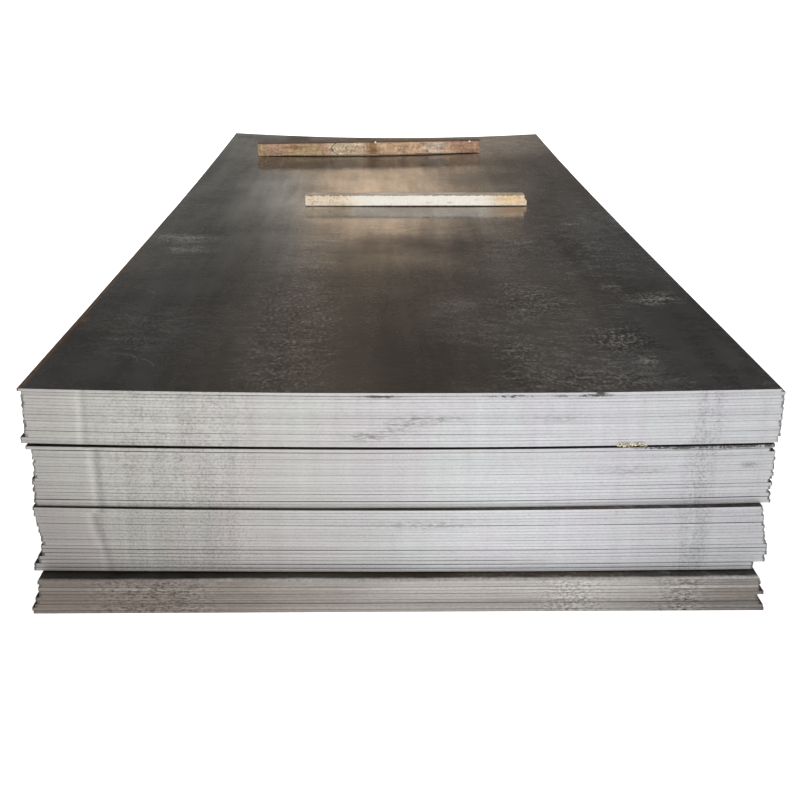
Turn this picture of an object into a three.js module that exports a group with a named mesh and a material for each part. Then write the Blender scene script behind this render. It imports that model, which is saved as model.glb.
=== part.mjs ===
// Stack of steel plates: four packs of hot-rolled plates lying on each other, with two loose
// wood battens on the top plate. Millimetres, +Z up, the plates' length along Y and their width
// along X. The origin is the centre of the underside.

import * as THREE from 'three';

// Plates
const PLATE_WIDTH = 1500;
const PLATE_LENGTH = 4000;
const PLATE_THICKNESS = 6;

// Gaps between the plates of a pack, open all round the edges
const AIR_GAP = 0.7;
const WIDE_GAP = 2.6;
const GAP_DEPTH = 30; // how far a gap reaches in from the edge before the closed core starts
const SEAT_CLEARANCE = 0.4; // between a pack or batten and what carries it

// The plates' long edges and corners curl up. The curl is full at the top of the stack and
// fades out to nothing at the flat underside.
const CURL_FRONT = 10;
const CURL_MIDDLE = 3;
const CURL_REAR = 20;
const CURL_FADE = 3; // power of the fade

// Loose piling: how far a plate may lie out of its pack's outline along its length
const SCATTER_ALONG = 1.2;

// Packs, lowest first. Plates are counted from the bottom of their pack, from 1.
//   gapBelow  open gap under the lowest plate; the closed core reaches down through it
//   extra     width over PLATE_WIDTH, as rolled
//   right     how far the lowest plate lies to +X of the origin
//   lean      how far each plate lies to +X of the one below it
//   loose     how far a plate may lie out of the pack's outline across it
//   back      how far its front edge lies behind the lowest pack's
//   turn      how far the right end of its front edge lies forward of the left end
//   wideAbove plates with a WIDE_GAP above them
//   strays    runs of plates with a width and a place to the right of their own
const PACKS = [
  {
    name: 'pack_bottom', plates: 10, gapBelow: 0, extra: -21, right: -6, lean: 0, loose: 1.6,
    back: 0, turn: -4, wideAbove: [3, 7],
    strays: [{ first: 1, last: 2, extra: 8, right: -8 }, { first: 3, last: 3, extra: -7, right: -9 },
      { first: 4, last: 5, extra: -15, right: -10 }, { first: 6, last: 6, extra: -11, right: -2 }],
  },
  {
    name: 'pack_lower', plates: 19, gapBelow: 3.9, extra: -13, right: 19.5, lean: -1.2, loose: 1.2,
    back: 36, turn: 2, wideAbove: [1, 2, 3, 5, 6, 14],
    strays: [{ first: 1, last: 2, extra: -12, right: -9.5 }, { first: 3, last: 4, extra: 0, right: 7 },
      { first: 5, last: 7, extra: -5, right: 12 }],
  },
  {
    name: 'pack_upper', plates: 18, gapBelow: 0.6, extra: -2, right: -1.5, lean: 0, loose: 1.6,
    back: 48, turn: -8, wideAbove: [2, 4, 6, 17],
    strays: [{ first: 18, last: 18, extra: 8, right: -7 }, { first: 17, last: 17, extra: -12, right: -9 },
      { first: 7, last: 7, extra: -4, right: -8 }, { first: 4, last: 4, extra: -5, right: -7 },
      { first: 1, last: 8, extra: 2, right: -4 }],
  },
  {
    name: 'pack_top', plates: 16, gapBelow: 4, extra: 16, right: 5, lean: 0, loose: 0.8,
    back: 50, turn: 0, wideAbove: [4],
    strays: [{ first: 1, last: 2, extra: 21, right: -1 }],
  },
];

// The uppermost plate lies loose on the top pack, a little to the left of it
const TOP_PLATE = { extra: 18, right: -1, back: 50 };

// Battens: sawn wood bars lying across the top plate. The height, width and length are those of
// the bar; x and y are its middle on the plate, and turn is in degrees about Z.
const BATTEN_ROUNDING = 2.5;
const BATTENS = [
  {
    name: 'batten_front', length: 792, width: 50, height: 40, x: 90.5, y: 137, turn: 0.85,
    leftRadius: 6, rightStep: 9, stepShare: 0.55,
  },
  {
    name: 'batten_rear', length: 1018, width: 50, height: 59, x: -81.5, y: 1420, turn: 8.5,
    leftRadius: 3, rightStep: 0, stepShare: 0,
  },
];

// Stations of the meshes across and along a plate
const ACROSS = 6;
const ALONG = 4;

const STEEL_EDGE = { color: 0xb9babb, roughness: 0.5, metalness: 0.85 };
const STEEL_EDGE_DIRTY = { color: 0x857f78, roughness: 0.65, metalness: 0.75 };
const MILL_SCALE = { color: 0x4a4542, roughness: 0.42, metalness: 0.6 };
const WOOD_PALE = { color: 0xe3d8c4, roughness: 0.8, metalness: 0 };
const WOOD_BROWN = { color: 0xa1866b, roughness: 0.85, metalness: 0 };

// ---- heights of the stack -------------------------------------------------------------------

const gapAbove = (pack, plate) => (pack.wideAbove.includes(plate) ? WIDE_GAP : AIR_GAP);

// Underside of each plate of a pack that starts at base, in the flat state without curl
function plateUndersides(pack, base) {
  const undersides = [base + pack.gapBelow];
  for (let plate = 1; plate < pack.plates; plate++) {
    undersides.push(undersides.at(-1) + PLATE_THICKNESS + gapAbove(pack, plate));
  }
  return undersides;
}

let level = -SEAT_CLEARANCE;
for (const pack of PACKS) {
  pack.base = level + SEAT_CLEARANCE;
  pack.undersides = plateUndersides(pack, pack.base);
  level = pack.undersides.at(-1) + PLATE_THICKNESS;
}
const TOP_PLATE_UNDERSIDE = level + SEAT_CLEARANCE;
const STACK_HEIGHT = TOP_PLATE_UNDERSIDE + PLATE_THICKNESS;

// Height of a point whose height would be flatHeight if the plates were flat
function curled(x, y, flatHeight) {
  const share = 1 - Math.max(0, 1 - flatHeight / STACK_HEIGHT) ** CURL_FADE;
  const across = (x / (PLATE_WIDTH / 2)) ** 2;
  const along = (y / (PLATE_LENGTH / 2)) ** 2;
  const end = y < 0 ? CURL_FRONT : CURL_REAR;
  return flatHeight + share * across * (CURL_MIDDLE + (end - CURL_MIDDLE) * along);
}

// ---- closed loft of plate outlines ----------------------------------------------------------

// Outline of a plate: its middle, its size and the slope of its turn
function outlineOf({ extra, right, back, turn = 0 }, stray = [0, 0]) {
  return {
    width: PLATE_WIDTH + extra,
    length: PLATE_LENGTH,
    x: right + stray[0],
    y: back + stray[1],
    slope: turn / PLATE_WIDTH,
  };
}

// The closed core that all the packs share lies GAP_DEPTH or more inside every plate's ends
const LARGEST_BACK = Math.max(...PACKS.map(({ back }) => back));
const CORE = {
  width: PLATE_WIDTH - 2 * GAP_DEPTH,
  length: PLATE_LENGTH - 2 * GAP_DEPTH - LARGEST_BACK,
  x: 0,
  y: LARGEST_BACK / 2,
  slope: 0,
};

// Stations round an outline as shares of its width and length, anticlockwise seen from above
// from its front left corner. Only the first and last shares follow the outline. The others lie
// at the same places on every plate, so that curled faces that rest on each other match.
function outlineStations() {
  const stations = [];
  for (let i = 0; i < ACROSS; i++) stations.push([i / ACROSS, 0]);
  for (let j = 0; j < ALONG; j++) stations.push([1, j / ALONG]);
  for (let i = ACROSS; i > 0; i--) stations.push([i / ACROSS, 1]);
  for (let j = ALONG; j > 0; j--) stations.push([0, j / ALONG]);
  return stations;
}
const STATIONS = outlineStations();

function stationAt(share, middle, size, fullSize) {
  return share === 0 || share === 1 ? middle + (share - 0.5) * size : (share - 0.5) * fullSize;
}

// Place of grid point i, j on the ring of stations, or -1 inside it
function ringPlace(i, j) {
  if (j === 0) return i;
  if (i === ACROSS) return ACROSS + j;
  if (j === ALONG) return ACROSS + ALONG + (ACROSS - i);
  if (i === 0) return 2 * ACROSS + ALONG + (ALONG - j);
  return -1;
}

// One closed body of plates that stand out all round the core, built from its underside up
class PlateLoft {
  points = [];
  faces = [];

  constructor(base) {
    this.height = base;
    this.ring(CORE, base);
    this.cap(false);
  }

  // Adds the point of an outline at shares u, v of its width and length
  addPoint(outline, u, v, flatHeight) {
    const stationX = stationAt(u, outline.x, outline.width, PLATE_WIDTH);
    const stationY = stationAt(v, outline.y, outline.length, PLATE_LENGTH);
    const x = stationX + stationY * outline.slope;
    const y = stationY - stationX * outline.slope;
    this.points.push(x, y, curled(x, y, flatHeight));
    return this.points.length / 3 - 1;
  }

  // Adds a ring and joins it to the ring before it. A ring further in is joined across the other
  // diagonal, so that the upper face of a plate is split as the underside above it is.
  ring(outline, flatHeight, furtherIn = false) {
    const next = STATIONS.map(([u, v]) => this.addPoint(outline, u, v, flatHeight));
    const last = this.lastRing ?? [];
    for (let a = 0; a < last.length; a++) {
      const b = (a + 1) % last.length;
      this.faces.push(last[a], last[b], next[furtherIn ? a : b]);
      this.faces.push(furtherIn ? last[b] : last[a], next[b], next[a]);
    }
    this.lastRing = next;
  }

  // Closes the newest ring, which is the core's, with a grid of faces that looks up or down
  cap(looksUp) {
    const gridPoint = (i, j) => {
      const place = ringPlace(i, j);
      return place < 0 ? this.addPoint(CORE, i / ACROSS, j / ALONG, this.height) : this.lastRing[place];
    };
    const grid = [];
    for (let j = 0; j <= ALONG; j++) {
      grid.push(Array.from({ length: ACROSS + 1 }, (_, i) => gridPoint(i, j)));
    }
    for (let j = 0; j < ALONG; j++) {
      for (let i = 0; i < ACROSS; i++) {
        const [a, b, c, d] = [grid[j][i], grid[j][i + 1], grid[j + 1][i + 1], grid[j + 1][i]];
        this.faces.push(...(looksUp ? [a, b, c, a, c, d] : [a, c, b, a, d, c]));
      }
    }
  }

  plate(outline, underside) {
    if (underside > this.height) this.ring(CORE, underside);
    this.ring(outline, underside);
    this.height = underside + PLATE_THICKNESS;
    this.ring(outline, this.height);
    this.ring(CORE, this.height, true);
  }

  geometry() {
    this.cap(true);
    const geometry = new THREE.BufferGeometry();
    geometry.setAttribute('position', new THREE.Float32BufferAttribute(this.points, 3));
    geometry.setIndex(this.faces);
    geometry.computeVertexNormals();
    return geometry;
  }
}

// ---- pieces ---------------------------------------------------------------------------------

// Where a plate lies within its pack: an irregular row of small steps, the same on every build
function scatter(order, loose) {
  return [loose * Math.sin(2.4 * order), SCATTER_ALONG * Math.sin(3.7 * order + 1)];
}

function packGeometry(pack) {
  const loft = new PlateLoft(pack.base);
  pack.undersides.forEach((underside, index) => {
    const plate = index + 1;
    const regular = { extra: pack.extra, right: pack.right + pack.lean * index };
    const run = pack.strays.find(({ first, last }) => plate >= first && plate <= last) ?? regular;
    const placed = { ...pack, extra: run.extra, right: run.right };
    loft.plate(outlineOf(placed, scatter(plate + pack.plates, pack.loose)), underside);
  });
  return loft.geometry();
}

function topPlateGeometry() {
  const loft = new PlateLoft(TOP_PLATE_UNDERSIDE);
  loft.plate(outlineOf(TOP_PLATE), TOP_PLATE_UNDERSIDE);
  return loft.geometry();
}

// Side view of a batten: rounded at its left end, and split back to a step at its right end
function battenOutline({ length, height, leftRadius, rightStep, stepShare }) {
  const [left, right, top] = [-length / 2 + BATTEN_ROUNDING, length / 2 - BATTEN_ROUNDING, height];
  const low = BATTEN_ROUNDING;
  const high = top - BATTEN_ROUNDING;
  const shape = new THREE.Shape();
  shape.moveTo(left + leftRadius, low);
  shape.lineTo(right, low);
  if (rightStep > 0) {
    const stepHeight = height * stepShare;
    shape.lineTo(right, stepHeight - rightStep / 2);
    shape.lineTo(right - rightStep * 0.7, stepHeight);
    shape.lineTo(right - rightStep, high);
  } else {
    shape.lineTo(right, high);
  }
  shape.lineTo(left + leftRadius, high);
  shape.absarc(left + leftRadius, high - leftRadius, leftRadius, Math.PI / 2, Math.PI, false);
  shape.absarc(left + leftRadius, low + leftRadius, leftRadius, Math.PI, 1.5 * Math.PI, false);
  return shape;
}

// The bar's own frame: X along it, Y across it, Z up from its underside
function battenGeometry(batten) {
  const geometry = new THREE.ExtrudeGeometry(battenOutline(batten), {
    depth: batten.width - 2 * BATTEN_ROUNDING,
    bevelThickness: BATTEN_ROUNDING,
    bevelSize: BATTEN_ROUNDING,
    bevelSegments: 2,
    curveSegments: 4,
  });
  geometry.translate(0, 0, -batten.width / 2 + BATTEN_ROUNDING);
  geometry.rotateX(Math.PI / 2);
  return geometry;
}

// Height of a mesh's upper surface over a place in the X-Y plane
function surfaceHeight(mesh, x, y) {
  const above = new THREE.Vector3(x, y, 2 * STACK_HEIGHT);
  const [hit] = new THREE.Raycaster(above, new THREE.Vector3(0, 0, -1)).intersectObject(mesh);
  return hit.point.z;
}

// Lays a batten on the curled plate, which it touches under its two ends
function seatBatten(mesh, batten, plate) {
  const turn = THREE.MathUtils.degToRad(batten.turn);
  const [cos, sin] = [Math.cos(turn), Math.sin(turn)];
  const seatAt = (endX) => Math.max(...[-1, 1].map((side) => {
    const sideY = side * batten.width / 2;
    return surfaceHeight(plate, batten.x + endX * cos - sideY * sin, batten.y + endX * sin + sideY * cos);
  })) + SEAT_CLEARANCE;
  const [left, right] = [seatAt(-batten.length / 2), seatAt(batten.length / 2)];
  mesh.rotation.set(0, -Math.atan2(right - left, batten.length), turn, 'ZYX');
  mesh.position.set(batten.x, batten.y, (left + right) / 2);
}

function addMesh(group, name, geometry, finish) {
  const mesh = new THREE.Mesh(geometry, new THREE.MeshStandardMaterial(finish));
  mesh.name = name;
  group.add(mesh);
  return mesh;
}

const stack = new THREE.Group();
for (const pack of PACKS) {
  const finish = pack.name === 'pack_bottom' ? STEEL_EDGE_DIRTY : STEEL_EDGE;
  addMesh(stack, pack.name, packGeometry(pack), finish);
}
const topPlate = addMesh(stack, 'top_plate', topPlateGeometry(), MILL_SCALE);
topPlate.updateMatrixWorld();
for (const batten of BATTENS) {
  const finish = batten.name === 'batten_front' ? WOOD_PALE : WOOD_BROWN;
  seatBatten(addMesh(stack, batten.name, battenGeometry(batten), finish), batten, topPlate);
}

export default stack;
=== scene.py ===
"""Stack of hot-rolled steel plates with two wood battens across the top: its looks.

Metres, +Z up, the plates' length along Y. The packs of plates, the uppermost plate and the
battens take their places and sizes from the frame, so they stay where the CAD model has them.
"""

import math
from types import SimpleNamespace

import bpy
import numpy as np
from mathutils import Matrix, Vector


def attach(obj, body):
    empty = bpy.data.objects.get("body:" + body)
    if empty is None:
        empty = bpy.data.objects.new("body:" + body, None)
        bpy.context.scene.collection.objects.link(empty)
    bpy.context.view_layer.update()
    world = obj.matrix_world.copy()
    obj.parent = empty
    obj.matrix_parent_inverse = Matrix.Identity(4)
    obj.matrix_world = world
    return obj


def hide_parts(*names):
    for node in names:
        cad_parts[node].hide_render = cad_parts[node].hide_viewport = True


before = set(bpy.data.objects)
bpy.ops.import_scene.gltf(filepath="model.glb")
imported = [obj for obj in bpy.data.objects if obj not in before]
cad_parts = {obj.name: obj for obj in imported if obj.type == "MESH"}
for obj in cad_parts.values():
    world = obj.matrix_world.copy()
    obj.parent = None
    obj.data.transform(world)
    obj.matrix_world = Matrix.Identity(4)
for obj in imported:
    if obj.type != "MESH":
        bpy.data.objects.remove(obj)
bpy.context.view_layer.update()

MM = 0.001

# Curl of the long edges and corners, full at the top of the stack and none at the floor
CURL_FRONT = 10 * MM
CURL_MIDDLE = 3 * MM
CURL_REAR = 20 * MM
HALF_WIDTH = 750 * MM
HALF_LENGTH = 2000 * MM

# Fine shape of the plates
FRAME_WIDTH = 80 * MM  # each plate of a pack is a frame of this width round the pack's core
EDGE_ROUNDING = 0.15 * MM
NARROW_JOINT = 0.06 * MM  # open between sheared ends, which are a little thicker than the plates
MIDDLE_JOINT = 0.3 * MM
WIDE_JOINT = 0.65 * MM
MIDDLE_JOINTS = {  # above these plates of a pack, counted from the lowest
    "pack_bottom": (1, 4, 6), "pack_lower": (7, 10), "pack_upper": (), "pack_top": (9, 15),
    "top_plate": (),
}
CORE_INSET = 48 * MM  # from the outline of the widest plate
END_SCATTER = 0.15  # how much of the plates' scatter lengthwise is kept
STRAY_END = 3 * MM  # plates that lie further out than this are left there
CORE_CLEARANCE = 0.3 * MM
WAVE_HEIGHT = 2.6 * MM
WAVE_LENGTH = 550 * MM
WAVE_STEP = 0.05  # how much the wave differs from one plate to the next
WAVE_STEP_WIDE = 0.45  # the same across a wide joint
WAVE_FADE = 0.1  # share of the stack's height below which the waves fade out
NUMBERS_OF_PACK = 20  # the plates' numbers in a pack start from a multiple of this
TONE_SEEDS = {
    "pack_bottom": 11, "pack_lower": 10, "pack_upper": 10, "pack_top": 8, "top_plate": 9,
}

# How the CAD model's meshes are read
SAME_LEVEL = 0.2 * MM  # vertices of a pack that differ less in height lie on the same level
OUTLINE_REACH = 25 * MM  # a level that ends further in than this is the core's, not a plate's
WIDE_GAP = 2 * MM  # a gap between plates that is higher than this is a wide joint
MIDDLE_REACH = 50 * MM  # vertices that are nearer to the middle line aren't lifted by the curl
FLATTENING_ROUNDS = 8
SQUARELY = 0.9  # least part of a normal in a direction, where a batten's face looks that way

# Meshes
ACROSS_POINTS = 121
ALONG_POINTS = 91
CORE_POINTS = {"Vertices X": 25, "Vertices Y": 41, "Vertices Z": 2}
SLAB_POINTS = {"Vertices X": 91, "Vertices Y": 161, "Vertices Z": 4}
BATTEN_POINTS = {"Vertices X": 161, "Vertices Y": 13, "Vertices Z": 27}
FACING = 0.6  # least part of a normal across or along, where a face belongs to an edge
SHARP_ANGLE = math.radians(25)
SHARP_NAIL_ANGLE = math.radians(35)

# Battens, in their own frame: X along, Y across, Z up, from their middle
BATTEN_FACE = -25 * MM  # their front
BATTEN_WAVER = 0.014  # how much their width and height vary, as a share
STEP_REACH = 40 * MM  # how far in from the right end the split step and the splinters fade out
CUTS = {
    "batten_front": {"Wear": 1.6 * MM, "Splinters": 1.5 * MM, "End Rounding": 6 * MM,
                     "Step Level": 0.1, "Step Depth": 9 * MM},
    "batten_rear": {"Wear": 2.2 * MM, "Splinters": 0.8 * MM, "End Rounding": 2.5 * MM,
                    "Step Level": 0.1, "Step Depth": 0.0},
}

# Nails in the rear batten, and their section: distances along the axis and radii
NAIL_PLACES = ((0.021, -0.0255, 0.0235), (0.459, -0.0255, 0.022))
NAIL_WAY = (0.1, -1, 0.35)
NAIL_SIDES = 20
NAIL = (
    (-0.012, 0.0008), (-0.001, 0.0014), (0.0015, 0.0014), (0.0021, 0.0042), (0.0025, 0.0046),
    (0.0033, 0.0046), (0.0037, 0.0042), (0.0037, 0.002),
)

# Splinters in the joint between the two upper packs
SPLINTER_ENDS = ((0.436, 0.3505), (0.492, 0.3515))  # of their row, across and up
SPLINTERS_OUT = 1.8 * MM  # in front of the uppermost plate's end
SPLINTER_COUNT = 90
SPLINTER_LENGTH = 5 * MM
SPLINTER_SEED = 5
SPLINTER_STRAY = ((-3 * MM, -1.5 * MM, -4 * MM), (3 * MM, 1.5 * MM, 5 * MM))
SPLINTER_SIZES = ((0.3, 0.25, 0.25), (1.0, 0.55, 0.5))
SPLINTER_TURNS = ((0, -0.7, -0.8), (3, 0.7, 0.8))

# Camera
CAMERA_PLACE = Vector((-0.0516, -4.2421, 1.2452))
CAMERA_TURN = math.radians(1.164)
CAMERA_DOWN = math.radians(19.213)
CAMERA_ROLL = math.radians(0.379)
CAMERA_LENS = 55.04
CAMERA_SENSOR = 36
CAMERA_REACH = 500

# Floor, light and room
FLOOR_REACH = 80
FLOOR_SHADE = 0.95
LIGHT_PLACE = (0.28, -3.5, 0.8)
LIGHT_TARGET = (0.2, -1.95, 0.3)
LIGHT_SIZE = (0.5, 0.35)
LIGHT_POWER = 12
GLOW_HEIGHT = 0.172  # of the warm opening behind, as the upward part of a direction
GLOW_HALF_HEIGHT = 0.024
GLOW_HALF_WIDTH = 0.072
WINDOW_SIDEWAYS = -0.19

# Colours of the finishes and of the room, as linear red, green and blue
WARM_STEEL = (0.3, 0.29, 0.274)
COOL_STEEL = (0.291, 0.295, 0.304)
PINKISH_TINT = (1.0, 0.97, 0.985)
GREENISH_TINT = (0.985, 1.0, 0.985)
BLACK_GRIME = (0.024, 0.02, 0.017)
DULL_BROWN_STEEL = (0.205, 0.189, 0.172)
DULL_GREY_STEEL = (0.262, 0.25, 0.238)
BROWN_DIRT = (0.06, 0.046, 0.036)
# painted shade in the joints of the lowest plates' ends, grey and brown
GREY_JOINT_SHADE = (0.075, 0.07, 0.066)
BROWN_JOINT_SHADE = (0.07, 0.043, 0.027)
CORNER_DARK = (0.04, 0.03, 0.024)
ROLLED_SCALE = (0.135, 0.13, 0.125)
ROLLED_RUST = (0.125, 0.07, 0.042)
WARM_SCALE = (0.0235, 0.02, 0.0165)
COOL_SCALE = (0.0224, 0.0208, 0.0192)
BROWN_SCALE = (0.0275, 0.0205, 0.0142)
SCALE_DUST = (0.15, 0.13, 0.107)
# painted reflection of the front batten in the uppermost plate
BATTEN_REFLECTION_BROWN = (0.105, 0.062, 0.027)
RED_RUST = (0.085, 0.03, 0.012)
WORN_SCALE = (0.153, 0.145, 0.133)
BROWN_DUST = (0.12, 0.108, 0.096)
PALE_DUST = (0.235, 0.228, 0.22)
EDGE_RUST = (0.105, 0.047, 0.021)
FRESH_WOOD = (0.655, 0.617, 0.555)
YELLOWED_WOOD = (0.58, 0.478, 0.355)
RESIN = (0.64, 0.45, 0.24)
BARK_BROWN = (0.24, 0.15, 0.085)
# painted shade and dirt along the pale batten's top and underside
WOOD_SHADE_AND_SOIL = (0.13, 0.098, 0.07)
BROWN_WOOD = (0.255, 0.17, 0.104)
LIGHT_BROWN_WOOD = (0.355, 0.235, 0.145)
GREENISH_WOOD = (0.3, 0.225, 0.105)
PINK_WOOD = (0.34, 0.2, 0.16)
SCORCHED_WOOD = (0.19, 0.075, 0.045)
PALE_KNOT = (0.4, 0.33, 0.23)
GREYED_WOOD = (0.36, 0.3, 0.25)
RED_BROWN_WOOD = (0.25, 0.145, 0.095)
WATER_STAIN = (0.16, 0.085, 0.032)
BLACK_MARK = (0.05, 0.034, 0.023)
# painted shade on the brown batten's top
PAINTED_TOP_SHADE = (0.055, 0.036, 0.025)
ZINC = (0.75, 0.74, 0.71)
NAIL_RUST = (0.3, 0.17, 0.09)
CHIP_WOOD = (0.52, 0.48, 0.35)
CHIP_SHADE = (0.13, 0.11, 0.055)
WINDOW_GREY = (0.36, 0.35, 0.32)
WARM_GLOW = (2.65, 1.98, 1.38)
PALE_GLOW = (2.65, 2.5, 2.2)


def add_object(name, data):
    """A new object in the scene that holds a mesh, a light or a camera."""
    added = bpy.data.objects.new(name, data)
    bpy.context.scene.collection.objects.link(added)
    return added


# ---- node trees written as expressions ----------------------------------------------------------


def operator(operation, swapped=False):
    """Makes a method that adds a Math node for one of Python's operators."""

    def apply(self, other):
        values = (other, self) if swapped else (self, other)
        return self.tree.math(operation, *values)

    return apply


class Value:
    """A node's output. Python's operators on it add Math nodes to its tree."""

    def __init__(self, tree, socket):
        self.tree = tree
        self.socket = socket

    __add__ = operator("ADD")
    __radd__ = operator("ADD", swapped=True)
    __sub__ = operator("SUBTRACT")
    __rsub__ = operator("SUBTRACT", swapped=True)
    __mul__ = operator("MULTIPLY")
    __rmul__ = operator("MULTIPLY", swapped=True)
    __truediv__ = operator("DIVIDE")
    __rtruediv__ = operator("DIVIDE", swapped=True)
    __pow__ = operator("POWER")
    __gt__ = operator("GREATER_THAN")
    __lt__ = operator("LESS_THAN")

    def __abs__(self):
        return self.tree.math("ABSOLUTE", self)

    def at_most(self, other):
        return self.tree.math("MINIMUM", self, other)

    def at_least(self, other):
        return self.tree.math("MAXIMUM", self, other)

    def within(self, low=0, high=1):
        return self.at_least(low).at_most(high)

    def ramp(self, start, end, low=0, high=1):
        """Goes smoothly from low, where the value is start, to high, where it is end."""
        return self.tree.node(
            "ShaderNodeMapRange",
            {"interpolation_type": "SMOOTHSTEP"},
            {"Value": self, "From Min": start, "From Max": end, "To Min": low, "To Max": high},
        )

    def bell(self, middle, half):
        """Is 1 at the middle and fades out to nothing at about twice the half width."""
        off = (self - middle) / half
        return self.tree.math("EXPONENT", off * off * -1)

    def zone(self, start, end, soft):
        """Is 1 from start to end, with soft limits."""
        return self.ramp(start - soft, start + soft) * self.ramp(end + soft, end - soft)

    def sign(self):
        return self.tree.math("SIGN", self)

    def part(self, axis):
        """The X, Y or Z part of a vector."""
        return self.tree.node("ShaderNodeSeparateXYZ", inputs={0: self}, output=axis)

    def times(self, number):
        """A vector made longer by a number."""
        settings = {"operation": "SCALE"}
        return self.tree.node("ShaderNodeVectorMath", settings, {0: self, "Scale": number})

    def plus(self, other):
        """The sum of two vectors."""
        return self.tree.node("ShaderNodeVectorMath", {"operation": "ADD"}, {0: self, 1: other})

    def stretched(self, *scale):
        """A vector with its parts multiplied by three numbers."""
        return self.tree.node(
            "ShaderNodeVectorMath", {"operation": "MULTIPLY"}, {0: self, 1: scale}
        )


class Tree:
    """A shader or geometry node tree that is being built."""

    def __init__(self, node_tree):
        self.node_tree = node_tree

    def node(self, kind, settings=None, inputs=None, output=0):
        """Adds a node, its settings first and then its sockets' values or links."""
        node = self.node_tree.nodes.new(kind)
        for name, value in (settings or {}).items():
            setattr(node, name, value)
        for key, value in (inputs or {}).items():
            self.feed(self.pick(node.inputs, key), value)
        return Value(self, self.pick(node.outputs, output))

    @staticmethod
    def pick(sockets, key):
        """The socket of that name or number among those that the node's settings show."""
        shown = [socket for socket in sockets if socket.enabled]
        if isinstance(key, int):
            return shown[key]
        return next(socket for socket in shown if socket.name == key)

    def feed(self, socket, value):
        for part in value if isinstance(value, list) else [value]:
            if isinstance(part, Value):
                self.node_tree.links.new(part.socket, socket)
            elif socket.type == "RGBA" and len(part) == 3:
                socket.default_value = (*part, 1)
            else:
                socket.default_value = part

    def math(self, operation, *values):
        return self.node("ShaderNodeMath", {"operation": operation}, dict(enumerate(values)))

    def vector(self, x, y, z):
        return self.node("ShaderNodeCombineXYZ", inputs={"X": x, "Y": y, "Z": z})

    def noise(self, place, scale, detail=2.0, roughness=0.5):
        """A cloudy pattern from about 0 to 1, 0.5 in the middle."""
        inputs = {"Vector": place, "Scale": scale, "Detail": detail, "Roughness": roughness}
        return self.node("ShaderNodeTexNoise", inputs=inputs)

    def centred(self, place, scale, detail=2.0, roughness=0.5):
        """The same pattern with 0 in its middle."""
        return self.noise(place, scale, detail, roughness) - 0.5

    def mix(self, share, first, second):
        """Blends two colours."""
        inputs = {"Factor": share, "A": first, "B": second}
        return self.node("ShaderNodeMix", {"data_type": "RGBA"}, inputs)

    def stained(self, color, stain):
        """A colour seen through another."""
        settings = {"data_type": "RGBA", "blend_type": "MULTIPLY"}
        return self.node("ShaderNodeMix", settings, {"Factor": 1.0, "A": color, "B": stain})

    def tinted(self, color, strength):
        """A colour made lighter or darker by a varying strength."""
        grey = self.node("ShaderNodeCombineColor", inputs={0: strength, 1: strength, 2: strength})
        return self.stained(color, grey)


class GeometryTree(Tree):
    """A geometry node tree with named inputs, which starts from a mesh and ends in one."""

    SOCKETS = {
        float: "NodeSocketFloat",
        int: "NodeSocketInt",
        Vector: "NodeSocketVector",
        bpy.types.Material: "NodeSocketMaterial",
    }

    def __init__(self, name, inputs):
        super().__init__(bpy.data.node_groups.new(name, "GeometryNodeTree"))
        self.inputs = inputs
        face = self.node_tree.interface
        face.new_socket("Geometry", in_out="INPUT", socket_type="NodeSocketGeometry")
        face.new_socket("Geometry", in_out="OUTPUT", socket_type="NodeSocketGeometry")
        for label, value in inputs.items():
            kind = self.SOCKETS[type(value)]
            face.new_socket(label, in_out="INPUT", socket_type=kind)
        self.entry = self.node_tree.nodes.new("NodeGroupInput")
        self.exit = self.node_tree.nodes.new("NodeGroupOutput")

    def input(self, label):
        return Value(self, self.entry.outputs[label])

    def position(self):
        return self.node("GeometryNodeInputPosition")

    def attribute(self, name, kind="FLOAT"):
        settings = {"data_type": kind}
        return self.node("GeometryNodeInputNamedAttribute", settings, {"Name": name})

    def stored(self, geometry, name, value, kind="FLOAT", domain="POINT"):
        settings = {"data_type": kind, "domain": domain}
        inputs = {"Geometry": geometry, "Name": name, "Value": value}
        return self.node("GeometryNodeStoreNamedAttribute", settings, inputs)

    def moved(self, geometry, position):
        inputs = {"Geometry": geometry, "Position": position}
        return self.node("GeometryNodeSetPosition", inputs=inputs)

    def random_vector(self, low, high, order):
        """A vector that differs from point to point."""
        inputs = {"Min": low, "Max": high, "Seed": self.input("Seed") + order}
        return self.node("FunctionNodeRandomValue", {"data_type": "FLOAT_VECTOR"}, inputs)

    def realized(self, geometry):
        return self.node("GeometryNodeRealizeInstances", inputs={"Geometry": geometry})

    def coated(self, geometry, material, where=True):
        inputs = {"Geometry": geometry, "Selection": where, "Material": material}
        return self.node("GeometryNodeSetMaterial", inputs=inputs)

    def finish(self, geometry):
        self.node_tree.links.new(geometry.socket, self.exit.inputs[0])

    def piece(self, name, start):
        """Runs the tree on a mesh and returns the result as an object with a plain mesh."""
        maker = add_object(name + "_maker", start)
        modifier = maker.modifiers.new("shape", "NODES")
        modifier.node_group = self.node_tree
        for item in self.node_tree.interface.items_tree:
            if item.in_out == "INPUT" and item.name in self.inputs:
                modifier[item.identifier] = self.inputs[item.name]
        evaluated = maker.evaluated_get(bpy.context.evaluated_depsgraph_get())
        mesh = bpy.data.meshes.new_from_object(evaluated)
        bpy.data.objects.remove(maker)
        bpy.data.meshes.remove(start)
        mesh.name = name
        mesh.shade_smooth()
        mesh.set_sharp_from_angle(angle=SHARP_ANGLE)
        return add_object(name, mesh)


# ---- the plates as the frame has them -----------------------------------------------------------


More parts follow.
